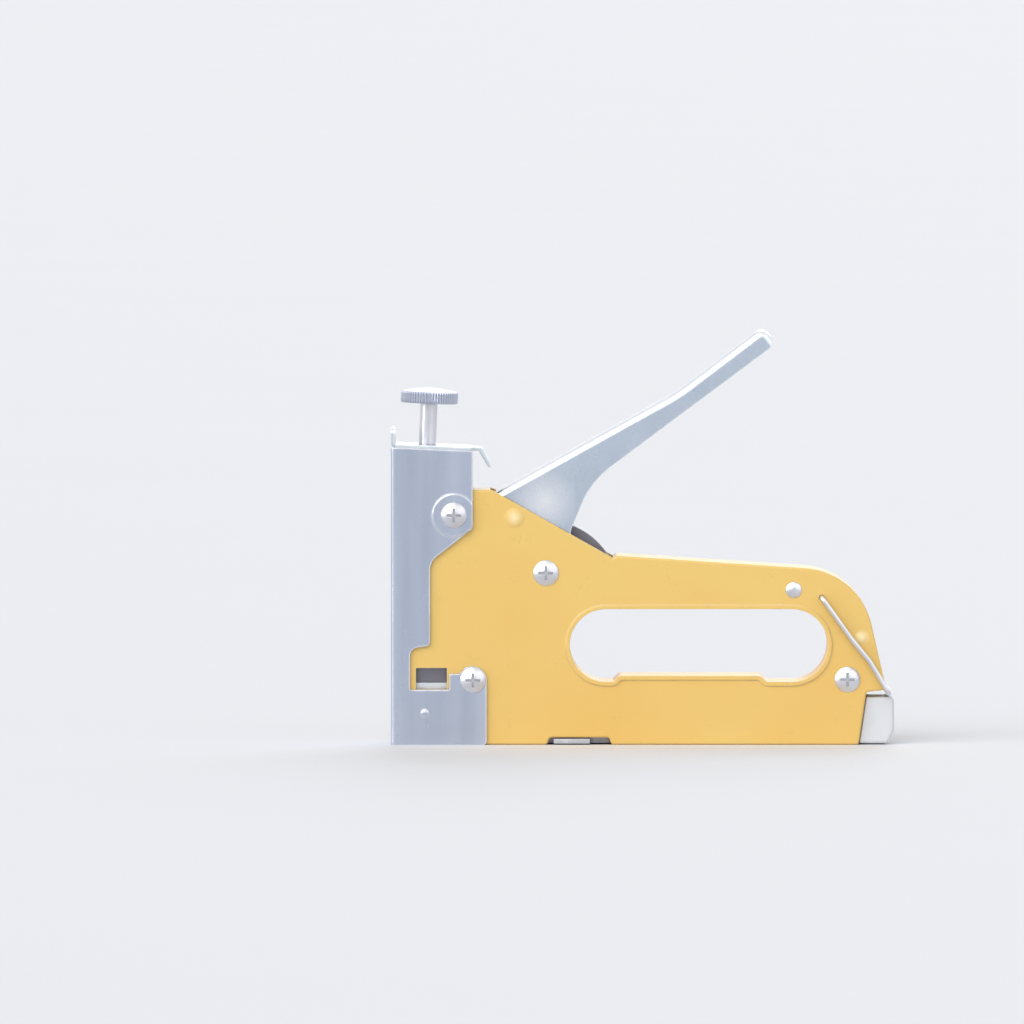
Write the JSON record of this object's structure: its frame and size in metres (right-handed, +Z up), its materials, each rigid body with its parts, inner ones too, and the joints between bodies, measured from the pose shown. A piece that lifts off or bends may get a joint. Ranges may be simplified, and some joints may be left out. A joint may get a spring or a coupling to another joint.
{
  "type": "upholstery stapler",
  "caption": "Lever-action upholstery stapler with pressed steel body, finger opening, chrome nose, power knob, rear-loading magazine and wire lever catch.",
  "frame": {"origin": "middle of the staple exit at the nose, on the work surface", "axes": "+X towards the rear of the handle, +Z up from the work surface, left side at -Y"},
  "size_m": [0.1662, 0.0295, 0.1368],
  "materials": {
    "yellow_paint": "satin orange-yellow stoved paint",
    "chrome": "bright nickel-chrome plate",
    "bright_steel": "bright zinc plate",
    "zinc_sheet": "zinc-plated sheet",
    "turned_steel": "turned",
    "dark_steel": "hardened, oil-dark",
    "spring_steel": "oiled wire",
    "cap_plastic": "pale grey moulding"
  },
  "bodies": {
    "body": {"shell_left": "yellow_paint", "shell_right": "yellow_paint", "nose_cover": "chrome", "front_plate": "zinc_sheet", "top_plate": "chrome", "adjuster_nut": "turned_steel", "nose_screws": "bright_steel", "pivot_screw": "bright_steel", "rear_screw": "bright_steel", "nuts": "bright_steel", "spacer_tubes": "turned_steel", "handle_rivet": "bright_steel", "rivet_spacer": "turned_steel", "lever_stop": "turned_steel", "pivot_sleeve": "turned_steel", "pivot_washers": "turned_steel", "lever_return_spring": "spring_steel", "main_spring": "spring_steel", "magazine_channel": "zinc_sheet", "front_bracket": "zinc_sheet", "rear_bracket": "zinc_sheet"},
    "lever": {"lever_handle": "chrome", "lifting_arm": "dark_steel", "lever_bush": "turned_steel", "arm_spacer": "turned_steel", "lever_rivet": "turned_steel"},
    "driver": {"driver_blade": "dark_steel", "driver_hammer": "dark_steel", "blade_rivets": "turned_steel", "lift_pin": "turned_steel"},
    "adjuster_seat": {"spring_seat": "turned_steel"},
    "adjuster_screw": {"adjusting_screw": "bright_steel", "power_knob": "bright_steel"},
    "magazine_rail": {"inner_rail": "zinc_sheet", "guide_rod": "turned_steel", "end_cap": "cap_plastic", "cap_pin": "turned_steel", "follower_spring": "spring_steel"},
    "magazine_follower": {"follower": "zinc_sheet"},
    "bail": {"bail_wire": "bright_steel"}
  },
  "joints": [
    {"name": "lever_swing", "type": "hinge", "parent": "body", "child": "lever", "pos_m": [0.0492, 0, 0.0568], "axis": [0, 1, 0], "range_deg": [0, 38], "stiffness_Nm_per_rad": 0.5, "springref_deg": -28.65, "deforming": ["lever_return_spring"]},
    {"name": "driver_slide", "type": "slide", "parent": "body", "child": "driver", "axis": [0, 0, 1], "range_m": [0, 0.02004], "deforming": ["main_spring"]},
    {"name": "adjuster_slide", "type": "slide", "parent": "body", "child": "adjuster_seat", "axis": [-0.0426, 0, -0.9991], "range_m": [0, 0.006], "deforming": ["main_spring"]},
    {"name": "knob_turn", "type": "hinge", "parent": "adjuster_seat", "child": "adjuster_screw", "pos_m": [0.01, 0, 0.09889], "axis": [-0.0426, 0, -0.9991], "range_deg": [0, 2160]},
    {"name": "magazine_slide", "type": "slide", "parent": "body", "child": "magazine_rail", "axis": [1, 0, 0], "range_m": [0, 0.095]},
    {"name": "follower_slide", "type": "slide", "parent": "magazine_rail", "child": "magazine_follower", "axis": [1, 0, 0], "range_m": [0, 0.1], "stiffness_N_per_m": 20, "springref_m": -0.05, "deforming": ["follower_spring"]},
    {"name": "bail_swing", "type": "hinge", "parent": "body", "child": "bail", "pos_m": [0.1403, 0, 0.0487], "axis": [0, -1, 0], "range_deg": [0, 182]}
  ],
  "couplings": [
    {"joint": "driver_slide", "follows": "lever_swing", "m_per_rad": 0.030208},
    {"joint": "adjuster_slide", "follows": "knob_turn", "m_per_rad": 0.00015915}
  ]
}
